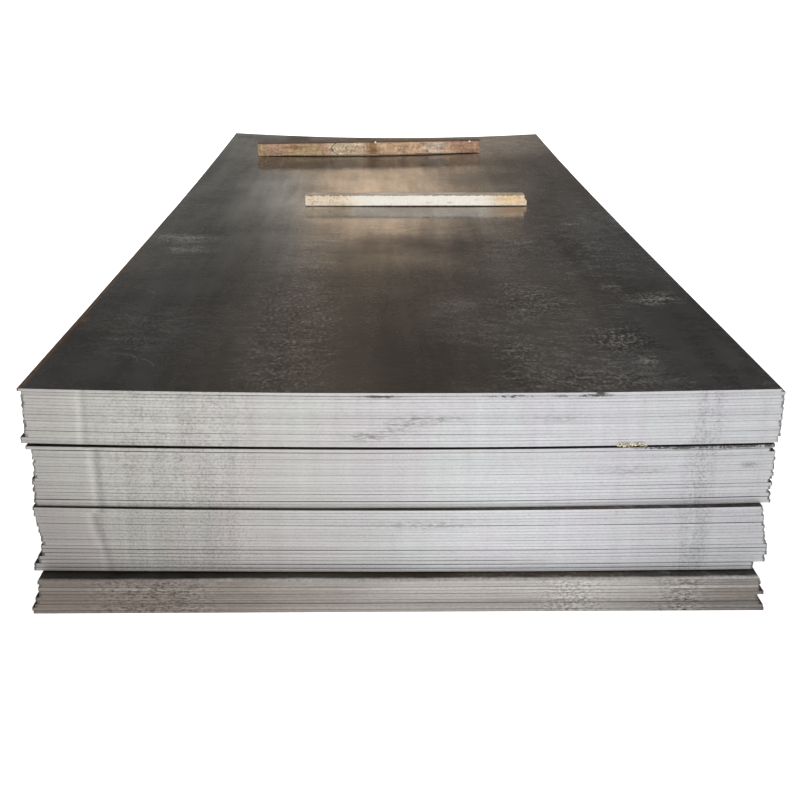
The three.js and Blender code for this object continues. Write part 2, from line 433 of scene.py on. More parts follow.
def curl(x, y, height, stack_height):
    """How far a point is lifted by the curl. Takes arrays of numbers or node values."""
    sunk = 1 - height / stack_height
    share = 1 - sunk * sunk * sunk
    across = x / HALF_WIDTH
    front = (abs(y) - y) / (2 * HALF_LENGTH)
    rear = (abs(y) + y) / (2 * HALF_LENGTH)
    end = (CURL_FRONT - CURL_MIDDLE) * front * front + (CURL_REAR - CURL_MIDDLE) * rear * rear
    return share * across * across * (end + CURL_MIDDLE)


def corners(node):
    """The vertices of a CAD node as an array of places."""
    return np.array([vertex.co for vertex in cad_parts[node].data.vertices])


def stack_height():
    """Height that the stack would have with flat plates, which it has in its middle."""
    places = corners("top_plate")
    middle = np.abs(places[:, 0]) < MIDDLE_REACH
    return places[middle, 2].max()


STACK_HEIGHT = float(stack_height())


def flat_heights(places):
    """Heights that curled places would have if the plates were flat."""
    height = places[:, 2].copy()
    for _ in range(FLATTENING_ROUNDS):
        height = places[:, 2] - curl(places[:, 0], places[:, 1], height, STACK_HEIGHT)
    return height


def plates_of(node):
    """The plates of a pack, lowest first: middle of the underside, width, length and turn."""
    places = corners(node)
    heights = flat_heights(places)
    order = np.argsort(heights)
    breaks = np.nonzero(np.diff(heights[order]) > SAME_LEVEL)[0] + 1
    levels = np.split(order, breaks)
    least = HALF_WIDTH - OUTLINE_REACH
    outer = [level for level in levels if np.abs(places[level, 0]).max() > least]
    plates = []
    for underside, top in zip(outer[::2], outer[1::2]):
        x, y = places[underside, 0], places[underside, 1]
        picks = [np.argmin(x + y), np.argmax(x - y), np.argmax(x + y), np.argmin(x - y)]
        a, b, c, d = (Vector((x[pick], y[pick])) for pick in picks)
        middle = (a + b + c + d) / 4
        plates.append({
            "place": (*middle, float(heights[underside].mean())),
            "size": ((b - a).length, (d - a).length),
            "turn": math.atan2(b.y - a.y, b.x - a.x),
            "thickness": float(heights[top].mean() - heights[underside].mean()),
        })
    return plates


PACKS = ("pack_bottom", "pack_lower", "pack_upper", "pack_top")
PLATES = {node: plates_of(node) for node in (*PACKS, "top_plate")}
THICKNESS = PLATES["top_plate"][0]["thickness"]
WIDTH, LENGTH = PLATES["top_plate"][0]["size"]
FRONT = PLATES["top_plate"][0]["place"][1] - LENGTH / 2
LEDGE_TOP = PLATES["pack_bottom"][-1]["place"][2] + THICKNESS


def thickened(node):
    """Lower and upper heights of the plates' sheared ends, and which joints under them are wide."""
    lows = [plate["place"][2] for plate in PLATES[node]]
    highs = [low + THICKNESS for low in lows]
    wide = [False] * len(lows)
    for index in range(1, len(lows)):
        middle = (highs[index - 1] + lows[index]) / 2
        wide[index] = lows[index] - highs[index - 1] > WIDE_GAP
        joint = MIDDLE_JOINT if index in MIDDLE_JOINTS[node] else NARROW_JOINT
        joint = WIDE_JOINT if wide[index] else joint
        highs[index - 1] = middle - joint / 2
        lows[index] = middle + joint / 2
    return lows, highs, wide


def store_on_points(mesh, name, values):
    """Stores a number or a vector on each point of a mesh."""
    vectors = isinstance(values[0], tuple)
    kind = "FLOAT_VECTOR" if vectors else "FLOAT"
    attribute = mesh.attributes.new(name, kind, "POINT")
    attribute.data.foreach_set("vector" if vectors else "value", np.ravel(values))


def plate_points(node):
    """A mesh with one point for each plate of a pack, which holds what sets the plate apart."""
    plates = PLATES[node]
    first = NUMBERS_OF_PACK * (*PACKS, "top_plate").index(node)
    lows, highs, wide = thickened(node)
    middle = np.median([plate["place"][1] for plate in plates])
    places = []
    for plate, low in zip(plates, lows):
        x, y = plate["place"][:2]
        share = END_SCATTER if abs(y - middle) < STRAY_END else 1
        places.append((x, middle + share * (y - middle), low))
    mesh = bpy.data.meshes.new(node + "_points")
    mesh.from_pydata(places, [], [])
    waves = np.cumsum(np.where(wide, WAVE_STEP_WIDE, WAVE_STEP))
    store_on_points(mesh, "number", [first + index for index in range(len(plates))])
    store_on_points(mesh, "phase", [first + float(wave) for wave in waves])
    store_on_points(mesh, "turn", [plate["turn"] for plate in plates])
    stretches = [
        (plate["size"][0] / WIDTH, plate["size"][1] / LENGTH, (high - low) / THICKNESS)
        for plate, low, high in zip(plates, lows, highs)
    ]
    store_on_points(mesh, "stretch", stretches)
    return mesh


# ---- shapes -------------------------------------------------------------------------------------


def wave(tree, place):
    """Height of the long, low waves in a plate, which differ from plate to plate."""
    phase = tree.attribute("phase") * WAVE_LENGTH
    spot = tree.vector(place.part("X"), place.part("Y"), phase)
    return tree.centred(spot, 1 / WAVE_LENGTH, detail=1.0) * tree.input("Wave Height")


def curled_geometry(tree, geometry):
    """Lays flat plates out with their curl and their waves."""
    place = tree.position()
    x, y, z = place.part("X"), place.part("Y"), place.part("Z")
    height = tree.input("Stack Height")
    share = (z / (WAVE_FADE * height)).at_most(1)
    lift = curl(x, y, z, height) + share * wave(tree, place)
    return tree.moved(geometry, tree.vector(x, y, z + lift))


def edge_profile(tree):
    """The closed section of a plate's edge. Its points know how far in and how high they lie."""
    width, thickness = tree.input("Frame Width"), tree.input("Thickness")
    inputs = {"Width": width, "Height": thickness}
    section = tree.node("GeometryNodeCurvePrimitiveQuadrilateral", inputs=inputs)
    inputs = {"Curve": section, "Count": 2, "Radius": tree.input("Edge Rounding")}
    section = tree.node("GeometryNodeFilletCurve", {"mode": "POLY"}, inputs)
    place = tree.position()
    section = tree.stored(section, "inset", place.part("X") + width / 2)
    return tree.stored(section, "height", thickness / 2 - place.part("Y"))


def placed_in_plate(tree, shape):
    """Stores how high a point of a plate lies in it, and how near it is to the plate's sides."""
    place = tree.position()
    shape = tree.stored(shape, "rise", place.part("Z") / tree.input("Thickness"))
    return tree.stored(shape, "reach", abs(place.part("X")) / (tree.input("Plate Width") / 2))


def plate_frame(tree):
    """One plate as far as it shows: a closed frame round the core."""
    inputs = {"Size X": tree.input("Plate Width"), "Size Y": tree.input("Plate Length")}
    inputs |= {"Vertices X": ACROSS_POINTS, "Vertices Y": ALONG_POINTS}
    sheet = tree.node("GeometryNodeMeshGrid", inputs=inputs)
    faces = tree.node("GeometryNodeInputMeshEdgeNeighbors")
    settings = {"data_type": "INT", "operation": "EQUAL"}
    border = tree.node("FunctionNodeCompare", settings, {"A": faces, "B": 1})
    outline = tree.node("GeometryNodeMeshToCurve", inputs={"Mesh": sheet, "Selection": border})
    outline = tree.node("GeometryNodeSetCurveNormal", {"mode": "Z_UP"}, {"Curve": outline})
    outline = tree.stored(outline, "outline", tree.position(), "FLOAT_VECTOR")
    inputs = {"Curve": outline, "Profile Curve": edge_profile(tree)}
    band = tree.node("GeometryNodeCurveToMesh", inputs=inputs)
    outer = tree.attribute("outline", "FLOAT_VECTOR")
    inset = tree.attribute("inset")
    x = outer.part("X") * (1 - inset / (tree.input("Plate Width") / 2))
    y = outer.part("Y") * (1 - inset / (tree.input("Plate Length") / 2))
    band = tree.moved(band, tree.vector(x, y, tree.attribute("height")))
    return placed_in_plate(tree, band)


def core_block(tree):
    """The closed core that hides behind the plates' edges."""
    size = tree.vector(
        tree.input("Plate Width") - 2 * CORE_INSET,
        tree.input("Plate Length") - 2 * CORE_INSET,
        tree.input("Core Height"),
    )
    block = tree.node("GeometryNodeMeshCube", inputs={"Size": size} | CORE_POINTS)
    inputs = {"Geometry": block, "Offset": tree.input("Core Place")}
    return tree.node("GeometryNodeSetPosition", inputs=inputs)


def on_points(tree, shape):
    """Lays a copy of a shape at each plate's point, and makes them real."""
    turn = tree.vector(0, 0, tree.attribute("turn"))
    inputs = {"Points": tree.input("Geometry"), "Instance": shape, "Rotation": turn}
    inputs |= {"Scale": tree.attribute("stretch", "FLOAT_VECTOR")}
    copies = tree.node("GeometryNodeInstanceOnPoints", inputs=inputs)
    inputs = {"Min": 0.0, "Max": 1.0, "ID": tree.node("GeometryNodeInputIndex")}
    inputs |= {"Seed": tree.input("Seed")}
    tone = tree.node("FunctionNodeRandomValue", {"data_type": "FLOAT"}, inputs)
    copies = tree.stored(copies, "tone", tone, domain="INSTANCE")
    return tree.realized(copies)


def coated_plates(tree, geometry):
    """Gives the plates' faces, ends and long sides their finishes."""
    normal = tree.node("GeometryNodeInputNormal")
    geometry = tree.coated(geometry, tree.input("Face Finish"))
    ends = abs(normal.part("Y")) > FACING
    sides = abs(normal.part("X")) > FACING
    geometry = tree.coated(geometry, tree.input("End Finish"), ends)
    return tree.coated(geometry, tree.input("Side Finish"), sides)


def plate_inputs(node, finishes):
    """Named inputs that the trees of the packs and of the uppermost plate share."""
    face, end, side = finishes
    return {
        "Plate Width": WIDTH,
        "Plate Length": LENGTH,
        "Thickness": THICKNESS,
        "Stack Height": STACK_HEIGHT,
        "Wave Height": WAVE_HEIGHT,
        "Seed": TONE_SEEDS[node],
        "Face Finish": face,
        "End Finish": end,
        "Side Finish": side,
    }


def make_pack(node, finishes):
    """All plates of a pack, as closed frames round one closed core."""
    plates = PLATES[node]
    low = plates[0]["place"][2] + CORE_CLEARANCE
    high = plates[-1]["place"][2] + THICKNESS - CORE_CLEARANCE
    middle = plates[len(plates) // 2]["place"]
    inputs = plate_inputs(node, finishes) | {
        "Frame Width": FRAME_WIDTH,
        "Edge Rounding": EDGE_ROUNDING,
        "Core Height": high - low,
        "Core Place": Vector((middle[0], middle[1], (low + high) / 2)),
    }
    tree = GeometryTree(node + "_shape", inputs)
    frames = on_points(tree, plate_frame(tree))
    both = tree.node("GeometryNodeJoinGeometry", inputs={"Geometry": [core_block(tree), frames]})
    tree.finish(coated_plates(tree, tree.realized(curled_geometry(tree, both))))
    return tree.piece("plates_" + node.removeprefix("pack_"), plate_points(node))


def make_top_plate(finishes):
    """The uppermost plate: a whole slab, as all of its face shows."""
    node = "top_plate"
    tree = GeometryTree(node + "_shape", plate_inputs(node, finishes))
    thickness = tree.input("Thickness")
    size = tree.vector(tree.input("Plate Width"), tree.input("Plate Length"), thickness)
    slab = tree.node("GeometryNodeMeshCube", inputs={"Size": size} | SLAB_POINTS)
    place = tree.position()
    x, y, z = place.part("X"), place.part("Y"), place.part("Z")
    half = thickness / 2
    # Of the block's four levels the outer two are drawn in, and the inner two, which start out at
    # a third of the half thickness, move out to where the broken edges begin
    outer = (abs(z) / half) > 0.9
    squeeze_x = 1 - outer * ((2 * EDGE_ROUNDING) / tree.input("Plate Width"))
    squeeze_y = 1 - outer * ((2 * EDGE_ROUNDING) / tree.input("Plate Length"))
    level = outer * z + (1 - outer) * z * (3 * (half - EDGE_ROUNDING) / half)
    slab = tree.moved(slab, tree.vector(x * squeeze_x, y * squeeze_y, level + half))
    bent = curled_geometry(tree, on_points(tree, placed_in_plate(tree, slab)))
    tree.finish(coated_plates(tree, tree.realized(bent)))
    return tree.piece("cover_plate", plate_points(node))


def batten_frame(node):
    """A batten's own frame and size, from its CAD mesh: X along it, Y across it, Z up."""
    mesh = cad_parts[node].data

    def facing(way):
        faces = [face for face in mesh.polygons if face.normal.dot(Vector(way)) > SQUARELY]
        return max(faces, key=lambda face: face.area).normal.normalized()

    up = facing((0, 0, 1))
    across = -facing((0, -1, 0))
    along = across.cross(up)
    places = corners(node) @ np.array([along, across, up]).T
    low, high = Vector(places.min(axis=0)), Vector(places.max(axis=0))
    middle = (low + high) / 2
    return {
        "Place": along * middle.x + across * middle.y + up * middle.z,
        "Along": along,
        "Across": across,
        "Up": up,
        "Size": high - low,
    }


def rounded(values, halves, radius):
    """Two of a block's coordinates, pulled in so that its arrises get a radius."""
    beyond = [(abs(value) - (half - radius)).at_least(0) for value, half in zip(values, halves)]
    distance = (beyond[0] * beyond[0] + beyond[1] * beyond[1]) ** 0.5
    pull = 1 - radius / distance.at_least(radius)
    return [value - value.sign() * over * pull for value, over in zip(values, beyond)]


def split_depth(tree, y, z, height, level):
    """How far a batten's right end is split back: a step in the end, and splinters all over it."""
    depth = tree.input("Step Depth")
    step = (level - tree.input("Step Level")) * height
    splinters = tree.noise(tree.vector(y, z, 1), 260.0, detail=3.0, roughness=0.7)
    back = step.ramp(-1 * MM, 1.5 * MM) * (0.8 + 0.4 * splinters) * depth
    back = back + step.bell(0, 2.2 * MM) * 0.9 * depth
    return back + splinters * tree.input("Splinters")


def make_batten(node, finish, cut):
    """A sawn bar with worn arrises. One end may be rounded, and the other split back to a step."""
    inputs = batten_frame(node) | {"Finish": finish} | cut
    tree = GeometryTree(node + "_shape", inputs)
    block = tree.node("GeometryNodeMeshCube", inputs={"Size": (2, 2, 2)} | BATTEN_POINTS)
    half = tree.input("Size").times(0.5)
    length, width, height = half.part("X"), half.part("Y"), half.part("Z")
    u, v, w = (tree.math("SINE", tree.position().part(axis) * (math.pi / 2)) for axis in "XYZ")
    x, y, z = u * length, v * width, w * height

    wear = tree.noise(tree.vector(x, v * 0.02, w * 0.02), 22.0, detail=3.0)
    y = y * (1 - BATTEN_WAVER * tree.noise(tree.vector(x, w * 0.03, 3), 14.0, detail=3.0))
    z = z * (1 - BATTEN_WAVER * tree.noise(tree.vector(x, v * 0.03, 7), 14.0, detail=3.0))
    radius = tree.input("Wear") * (0.5 + wear)
    y, z = rounded((y, z), (width, height), radius)
    x, y = rounded((x, y), (length, width), radius)

    left = x < 0
    round_x, round_z = rounded((x, z), (length, height), tree.input("End Rounding"))
    x = x + left * (round_x - x)
    z = z + left * (round_z - z)

    near_end = ((x - length + STEP_REACH) / STEP_REACH).at_least(0)
    x = x - split_depth(tree, y, z, height, w) * near_end

    block = tree.stored(block, "bar", tree.vector(x, y, z), "FLOAT_VECTOR")
    bar = tree.attribute("bar", "FLOAT_VECTOR")
    place = tree.input("Place").plus(tree.input("Along").times(bar.part("X")))
    place = place.plus(tree.input("Across").times(bar.part("Y")))
    block = tree.moved(block, place.plus(tree.input("Up").times(bar.part("Z"))))
    tree.finish(tree.coated(tree.realized(block), tree.input("Finish")))
    return tree.piece(node.replace("batten", "wood_bar"), bpy.data.meshes.new(node + "_start"))


def lathed(name, profile, place, axis, sides, finish):
    """A closed turned piece. Its profile is a row of distances along the axis and radii."""
    turn = Vector((0, 0, 1)).rotation_difference(Vector(axis))
    points = []
    for distance, radius in profile:
        for side in range(sides):
            angle = 2 * math.pi * side / sides
            point = Vector((radius * math.cos(angle), radius * math.sin(angle), distance))
            points.append(Vector(place) + turn @ point)
    faces = [tuple(reversed(range(sides)))]
    for ring in range(len(profile) - 1):
        for side in range(sides):
            a, b = ring * sides + side, ring * sides + (side + 1) % sides
            faces.append((a, b, b + sides, a + sides))
    last = (len(profile) - 1) * sides
    faces.append(tuple(range(last, last + sides)))
    mesh = bpy.data.meshes.new(name)
    mesh.from_pydata(points, [], faces)
    mesh.materials.append(finish)
    mesh.shade_smooth()
    mesh.set_sharp_from_angle(angle=SHARP_NAIL_ANGLE)
    return add_object(name, mesh)


def make_splinters(name, finish):
    """Splinters of wood strewn along a line, caught in the joint between two packs."""
    start, end = (Vector((x, FRONT - SPLINTERS_OUT, z)) for x, z in SPLINTER_ENDS)
    inputs = {
        "Finish": finish,
        "From": start,
        "To": end,
        "Count": SPLINTER_COUNT,
        "Length": SPLINTER_LENGTH,
        "Seed": SPLINTER_SEED,
    }
    tree = GeometryTree(name + "_shape", inputs)
    ends = {"Count": tree.input("Count"), "Start Location": tree.input("From")}
    ends |= {"Offset": tree.input("To")}
    line = tree.node("GeometryNodeMeshLine", {"mode": "END_POINTS"}, ends)
    line = tree.moved(line, tree.position().plus(tree.random_vector(*SPLINTER_STRAY, 1)))
    ball = tree.node("GeometryNodeMeshIcoSphere", inputs={"Radius": 0.5, "Subdivisions": 2})
    lump = 1 + tree.centred(tree.position(), 2.4, detail=2.0) * 1.1
    ball = tree.moved(ball, tree.position().times(lump))
    size = tree.random_vector(*SPLINTER_SIZES, 2).times(tree.input("Length"))
    turn = tree.random_vector(*SPLINTER_TURNS, 3)
    inputs = {"Points": line, "Instance": ball, "Rotation": turn, "Scale": size}
    strewn = tree.node("GeometryNodeInstanceOnPoints", inputs=inputs)
    tree.finish(tree.coated(tree.realized(strewn), tree.input("Finish")))
    return tree.piece(name, bpy.data.meshes.new(name + "_start"))


# ---- finishes -----------------------------------------------------------------------------------
#
# The places and half sizes of patches are in metres: in the model's frame on the plates, and in
# a batten's own frame on the battens.

GOLDEN_RATIO = 0.618  # its multiples are well scattered between whole numbers
RAGGEDNESS = 1.6  # of the patches' rims

# Soiled places on the front ends: middle, half sizes, strength
FRONT_SMUDGES = (
    ((-0.045, FRONT, 0.453), (0.05, 0.03, 0.0038), 1.0),
    ((0.218, FRONT, 0.453), (0.058, 0.03, 0.0038), 1.1),
    ((0.363, FRONT, 0.4532), (0.07, 0.03, 0.0042), 1.2),
    ((0.396, FRONT, 0.4575), (0.014, 0.03, 0.007), 1.2),
    ((0.66, FRONT, 0.3385), (0.2, 0.03, 0.008), 0.6),
    ((0.64, FRONT - 0.01, 0.3382), (0.18, 0.08, 0.0034), 3.0),
    ((0.71, FRONT, 0.297), (0.024, 0.03, 0.008), 0.55),
)

# Smears of short strokes, some of them in steps that go up to the right
FRONT_SMEARS = (
    ((-0.085, FRONT, 0.3605), (0.035, 0.03, 0.007), 0.35),
    ((-0.062, FRONT, 0.368), (0.06, 0.03, 0.009), 0.6),
    ((-0.02, FRONT, 0.3825), (0.055, 0.03, 0.009), 0.42),
    ((0.012, FRONT, 0.393), (0.065, 0.03, 0.009), 0.45),
    ((0.05, FRONT, 0.4055), (0.085, 0.03, 0.008), 0.5),
    ((0.31, FRONT, 0.405), (0.05, 0.03, 0.01), 0.3),
    ((0.05, FRONT - 0.012, 0.18), (0.12, 0.03, 0.012), 0.35),
    ((0.46, FRONT, 0.29), (0.1, 0.03, 0.012), 0.3),
)

# Painted highlight and shade of a crease down the front ends, which the plates' shape doesn't have:
# its place, and the heights above which it is offset, and how far
PAINTED_CREASE = -0.612
PAINTED_CREASE_STEPS = ((0.208, -0.0135), (0.345, 0.0195))

# Stretches across the sheared ends: start, end, softness
RIPPLED = (-0.6, -0.32, 0.06)
SCARRED = (0.565, 0.62, 0.02)
# the last stretch is a painted highlight across the middle of the ends
PAINTED_HIGHLIGHT = (0.06, 0.42, 0.12)

# Stretches where the ends of the lowest plates are the most speckled
SPECKLED = ((-0.62, -0.4, 0.07), (0.3, 0.4, 0.05), (0.54, 0.62, 0.04))

# Places on the uppermost plate where the scale is scuffed bright: middle, half sizes, strength
SCUFFS = (
    ((-0.645, -0.465), (0.13, 0.07), 0.9),
    ((-0.62, -0.63), (0.09, 0.06), 0.7),
    ((0.655, -1.213), (0.07, 0.07), 1.0),
    ((0.566, -1.097), (0.035, 0.045), 0.7),
    ((0.605, -0.207), (0.06, 0.06), 0.6),
    ((0.402, -0.502), (0.05, 0.05), 0.8),
    ((0.589, -0.565), (0.03, 0.05), 0.6),
    ((0.537, -1.748), (0.035, 0.05), 0.6),
    ((0.146, -1.265), (0.06, 0.1), 0.3),
)

# Places where the scale is crumbled, so that it looks granular
CRUMBLED = (
    ((-0.24, -1.25), (0.12, 1.0), 0.85),
    ((-0.19, -0.52), (0.05, 0.16), 0.9),
    ((0.492, -1.573), (0.09, 0.12), 1.0),
    ((0.259, -1.683), (0.07, 0.16), 0.7),
    ((0.375, -1.872), (0.2, 0.1), 0.7),
    ((0.335, -1.2), (0.12, 0.26), 1.0),
    ((-0.6, -1.5), (0.15, 0.25), 0.3),
    ((0.121, -0.687), (0.04, 0.08), 0.5),
    ((0.33, -0.62), (0.16, 0.2), 0.7),
    ((0.15, -1.55), (0.1, 0.1), 0.3),
)

# Lengthwise bands of lighter or darker scale: middle, half width, strength
BANDS = (
    (-0.22, 0.15, 0.85),
    (0.37, 0.1, 0.35),
    (0.6, 0.08, -0.1),
    (-0.56, 0.07, -0.1),
)

# Wide places of lighter scale: middle, half sizes, strength
FADED = (
    ((0.68, 0.7), (0.26, 1.3), 0.6),
    ((0.4, -1.15), (0.26, 0.5), 0.3),
    ((-0.29, -1.3), (0.14, 0.5), 0.5),
)

# Places where the scale is glossier or duller than elsewhere: middle, half sizes, strength
GLOSSES = (
    ((0.36, 0.72), (0.22, 0.2), -0.36),
    ((0.3, 0.2), (0.22, 0.2), 0.2),
    ((0.17, -0.21), (0.22, 0.14), -0.3),
    ((0.06, -0.6), (0.26, 0.28), -0.22),
    ((0.15, -0.47), (0.24, 0.26), -0.4),
    ((-0.15, 1.8), (0.6, 0.3), -0.4),
    ((-0.5, 1.95), (0.4, 0.16), -0.3),
    ((-0.66, 0.4), (0.14, 0.6), -0.2),
    ((-0.1, 1.14), (0.6, 0.22), -0.4),
    ((-0.3, 0.42), (0.12, 0.25), -0.3),
)

# Curved scratches: start, end, how far the middle bows out
SCRATCH_HALF_WIDTH = 1.2 * MM
SCRATCHES = (
    ((-0.66, -1.45), (-0.505, -1.43), 0.012),
    ((-0.553, -1.5), (-0.53, -1.52), -0.006),
    ((-0.575, -1.725), (-0.518, -1.79), 0.012),
    ((-0.62, -1.7), (-0.56, -1.76), 0.02),
    ((-0.7, -1.1), (-0.62, -1.22), 0.03),
)

# Single places on the uppermost plate: middle, half sizes
UNWORN = ((0.68, -1.6), (0.22, 0.7))
SHADED = ((0.6, 0.42), (0.06, 0.3))
DUSTY = ((0.62, 1.8), (0.35, 0.45))
# A painted reflection: the warm brown patch where the front batten is mirrored in the plate
BATTEN_REFLECTION_PATCH = ((0.1, 0.03), (0.4, 0.085))
RUSTY = ((0.42, 0.05), (0.07, 0.07))
RUST_SPOT = ((-0.745, -1.432), (0.012, 0.03))
RUST_SEAM = (-0.7465, -0.7525)  # where the rust at the left edge starts, and where it is full

# Ledge in front, on the lowest pack
LEDGE_BELOW = 6 * MM  # what lies this far below its height in the middle isn't the ledge
LEDGE_ABOVE = 5 * MM  # the same above, with room for the curl
DUST_START = FRONT - 30 * MM  # the dust covers the ledge from about here outwards
DUST_FADE = 12 * MM

# Marks on the front of the pale batten and of the brown one: middle, half sizes, strength
PALE_MARKS = (
    ((0.042, BATTEN_FACE, -0.008), (0.012, 0.03, 0.004), 0.35),
    ((0.118, BATTEN_FACE, -0.008), (0.012, 0.03, 0.005), 0.45),
    ((0.213, BATTEN_FACE, 0.002), (0.01, 0.03, 0.004), 0.3),
    ((-0.36, BATTEN_FACE, -0.005), (0.04, 0.03, 0.004), 0.45),
    ((-0.29, BATTEN_FACE, -0.009), (0.045, 0.03, 0.004), 0.4),
    ((0.3, BATTEN_FACE, 0.004), (0.05, 0.03, 0.006), 0.4),
    ((0.37, BATTEN_FACE, -0.006), (0.02, 0.03, 0.006), 0.4),
)
BROWN_MARKS = (
    ((0.262, BATTEN_FACE, -0.02), (0.008, 0.03, 0.006), 1.0),
    ((0.244, BATTEN_FACE, 0.013), (0.006, 0.03, 0.006), 0.6),
    ((-0.3, BATTEN_FACE, 0.008), (0.035, 0.03, 0.005), 0.5),
    ((-0.44, BATTEN_FACE, -0.02), (0.04, 0.03, 0.006), 0.4),
    ((0.12, BATTEN_FACE, -0.02), (0.05, 0.03, 0.005), 0.35),
    ((0.4, BATTEN_FACE, 0.004), (0.04, 0.03, 0.008), 0.5),
    ((0.46, BATTEN_FACE, -0.02), (0.05, 0.03, 0.008), 0.5),
)
SCORCHED = ((-0.36, -0.029, 0.006), (0.05, 0.03, 0.009))
KNOT = -0.1  # place of the knot along the brown batten
CRACK = -0.178  # place of its curved crack


def new_finish(name):
    """A material with only a Principled shader, and the tree and shader to build on."""
    material = bpy.data.materials.new(name)
    material.use_nodes = True
    shader = material.node_tree.nodes["Principled BSDF"]
    return material, Tree(material.node_tree), shader


def dress(tree, shader, values):
    """Sets the shader's sockets to constants, or links them to varying values."""
    for name, value in values.items():
        tree.feed(shader.inputs[name], value)


def roughen(tree, shader, height, strength, distance):
    inputs = {"Strength": strength, "Distance": distance, "Height": height}
    tree.feed(shader.inputs["Normal"], tree.node("ShaderNodeBump", inputs=inputs))


def object_place(tree):
    return tree.node("ShaderNodeTexCoord", output="Object")


def held(tree, name, output="Fac"):
    """What the geometry holds at each point under a name: a number, or a vector."""
    return tree.node("ShaderNodeAttribute", {"attribute_name": name}, output=output)


def rim_noise(tree, place, scale):
    """A noise that patches share, so that their rims are ragged."""
    return tree.centred(place, scale, detail=4.0, roughness=0.68) * RAGGEDNESS


def patch(place, middle, half, rim):
    """Is 1 in the middle of a ragged oval and 0 outside it."""
    off = [(place.part(axis) - at) / size for axis, at, size in zip("XYZ", middle, half)]
    return (sum(part * part for part in off) ** 0.5 + rim).ramp(1.3, 0.2)


def patches(place, spots, rim):
    """The strongest of several patches, each a row of its middle, half sizes and strength."""
    total = None
    for middle, half, strength in spots:
        mask = patch(place, middle, half, rim) * strength
        total = total.at_least(mask) if total else mask
    return total


# ---- ends and long sides of the plates


def edge_values(tree):
    """What the finishes of the plates' edges read: the place, the plate, and where in it."""
    place = object_place(tree)
    return SimpleNamespace(
        place=place,
        x=place.part("X"),
        y=place.part("Y"),
        z=place.part("Z"),
        number=held(tree, "number"),
        tone=held(tree, "tone"),
        rise=held(tree, "rise"),
        reach=held(tree, "reach"),
    )


def uncurled(tree, at):
    """The place on the front ends as it would be if the plates lay flat."""
    across = at.x / HALF_WIDTH
    return tree.vector(at.x, at.y, at.z - across * across * CURL_FRONT)


def joint_lines(tree, at, along, start, end):
    """Shade in the joints between plates. It is stronger in some joints, and comes and goes."""
    edge = at.rise.ramp(0.16, 0.02).at_least(at.rise.ramp(0.84, 0.98))
    joint = tree.math("ROUND", at.number + at.rise)
    chance = tree.math("FRACT", joint * GOLDEN_RATIO)
    spot = tree.vector(along * 2.6, joint * 5.7, 0)
    fade = tree.noise(spot, 1.0, detail=3.0, roughness=0.6)
    return edge * fade.ramp(0.36, 0.7, start, end) * chance.ramp(0.45, 0.95, 0.3, 1.0)


def dark_corners(at, speckle):
    """Plates' ends darkened near their corners, more on some plates than on others."""
    length = 0.002 + at.tone * 0.007
    corner_darkening = ((at.reach - 1 + length) / 0.002).within()
    return (corner_darkening * (0.75 + speckle * 2.2)).within()


def sheared_shine(tree, at, low):
    """How light the sheared ends are from place to place, with a painted highlight across the
    middle, painted shade towards both sides, and the painted highlight and shade of a crease.
    """
    x, z = at.x, at.z
    layer = at.number * 3.1 + at.rise * 2.4
    streak = tree.centred(tree.vector(x * 2.5, layer, 0), 1.0, detail=4.0, roughness=0.6)
    shine = 1 + (at.tone - 0.5) * 0.12 + streak * (0.45 + low * 0.3) + at.cloud * 0.14
    shine = shine + at.stripes * (0.16 + at.ripples * 0.3)
    shine = shine - at.scars * (0.06 - at.stripes * 0.4)
    grit = at.speckle.at_most(0.05) - 0.02
    shine = shine + grit * (0.6 + at.ripples * 1.1 + at.scars * 1.0)
    # Painted highlight beside a band of painted shade, as if the ends were creased here
    painted_crease = x - PAINTED_CREASE + z.ramp(0.085, 0.2) * 0.024
    for height, offset in PAINTED_CREASE_STEPS:
        painted_crease = painted_crease + (z > height) * offset
    painted_crease = painted_crease + at.cloud * 0.02 + streak * 0.01
    shine = shine + painted_crease.bell(0, 0.0075) * 0.16 - painted_crease.bell(0.0145, 0.008) * 0.19
    shine = shine - joint_lines(tree, at, x, 0.02, 0.3) * (0.8 + low * 0.7)
    # Painted highlight across the middle of the ends, stronger lower down
    shine = shine + x.zone(*PAINTED_HIGHLIGHT) * low * 0.13
    # Painted shade: the ends grow darker towards the left and the right, more so lower down, as the
    # light falls off
    painted_side_shade = x.ramp(0.12, -0.7) * (0.16 + low * 0.2) + x.ramp(-0.6, -0.73) * 0.08
    painted_side_shade = painted_side_shade + x.ramp(0.35, 0.75) * (0.07 + low * 0.12)
    return (shine * (1 - painted_side_shade)).at_least(0.05)


def sheared_soil(tree, at):
    """Smudges, smears and darkened corners of the sheared ends."""
    rim = rim_noise(tree, at.place, 60.0)
    flat_place = uncurled(tree, at)
    dashes = (at.stripes * 1.6 + at.speckle * 3 + 0.5).ramp(0.2, 0.6)
    soil = patches(flat_place, FRONT_SMUDGES, rim) * dashes
    slanted = tree.vector(at.x * 55, at.y, (at.z - at.x * 0.06) * 290)
    strokes = tree.noise(slanted, 1.0, detail=3.0, roughness=0.6).ramp(0.42, 0.57)
    soil = soil.at_least(patches(flat_place, FRONT_SMEARS, rim) * strokes)
    return soil.at_least(dark_corners(at, at.speckle)).within()


